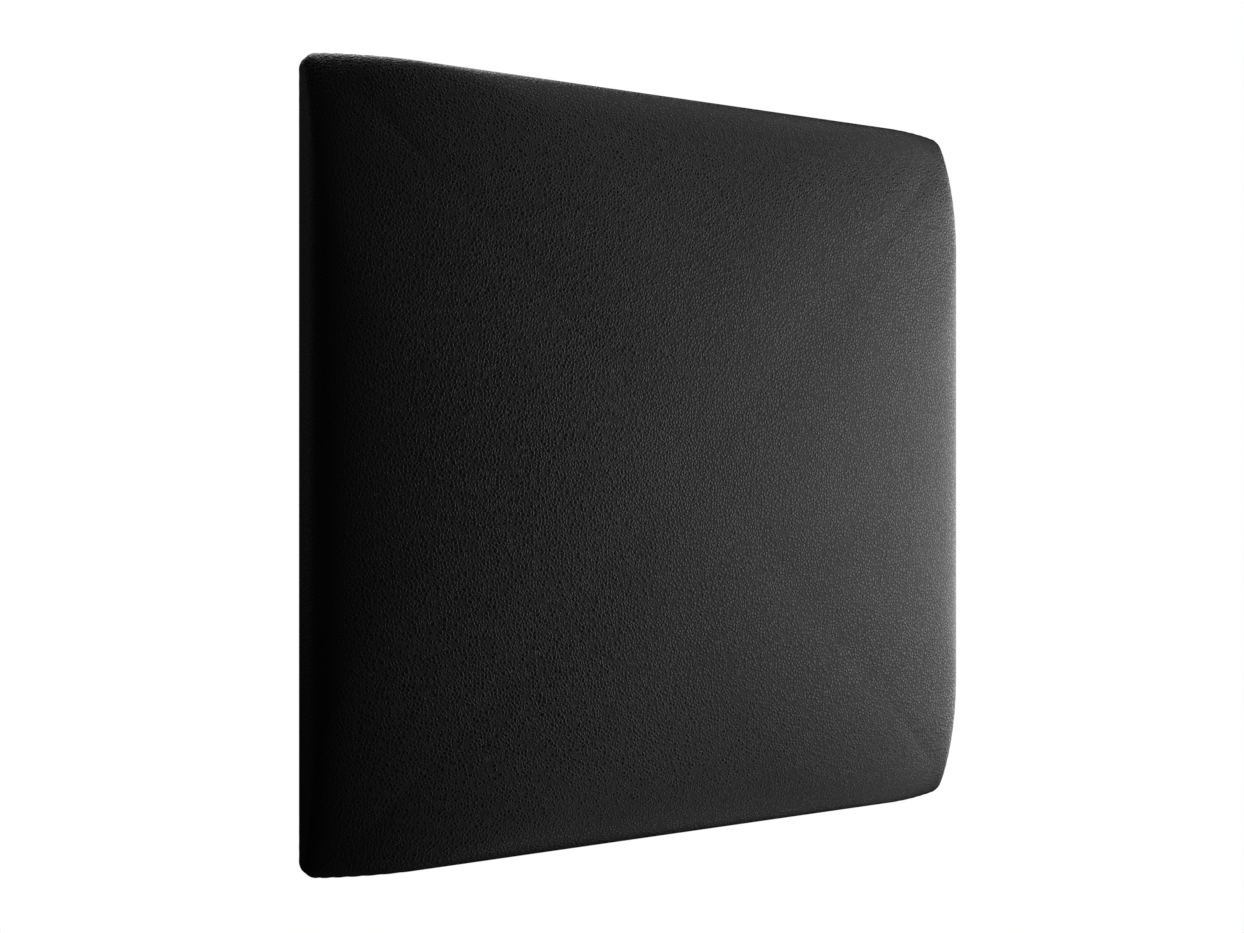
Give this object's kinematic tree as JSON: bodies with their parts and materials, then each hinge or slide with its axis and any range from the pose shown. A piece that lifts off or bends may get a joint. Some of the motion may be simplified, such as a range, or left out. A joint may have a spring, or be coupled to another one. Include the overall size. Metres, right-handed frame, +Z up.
{
  "type": "wall punch pad",
  "caption": "Square padded wall panel: a foam-stuffed cover in black faux leather over a board, with hooked clips on its back that drop over wall rails.",
  "frame": {"origin": "centre of the rectangle of four wall screw holes, on the wall plane, which is the back face of the wall rails", "axes": "+Z up, +Y into the wall, so the padded front faces -Y; +X to the right of somebody who faces the pad"},
  "size_m": [0.4, 0.0566, 0.4],
  "materials": {
    "cover": "satin, fine pebble grain, black faux leather",
    "rail": "mill-finish extrusion, brushed along its length",
    "plated_steel": "bright zinc plate",
    "staple_wire": "galvanised wire",
    "plywood": "raw birch plywood with visible plies on its edges",
    "core_foam": "firm grey polyurethane foam",
    "face_foam": "soft cream polyurethane foam",
    "wadding": "white polyester wadding",
    "dust_cover": "black spun-bonded nonwoven",
    "rubber": "moulded black rubber, matte"
  },
  "bodies": {
    "wall_rails": {"upper_wall_rail": "rail", "lower_wall_rail": "rail"},
    "pad": {"upper_pad_clip": "rail", "lower_pad_clip": "rail", "upper_clip_screws": "plated_steel", "lower_clip_screws": "plated_steel", "upper_tee_nuts": "plated_steel", "lower_tee_nuts": "plated_steel", "backing_board": "plywood", "core_foam": "core_foam", "face_foam": "face_foam", "wadding": "wadding", "cover": "cover", "cover_staples": "staple_wire", "dust_cover": "dust_cover", "dust_cover_staples": "staple_wire", "upper_left_bumper": "rubber", "upper_right_bumper": "rubber", "lower_left_bumper": "rubber", "lower_right_bumper": "rubber", "bumper_screws": "plated_steel"}
  },
  "joints": [
    {"name": "pad_lift_off", "type": "slide", "parent": "wall_rails", "child": "pad", "axis": [0, -0.7071, 0.7071], "range_m": [0, 0.12]}
  ]
}
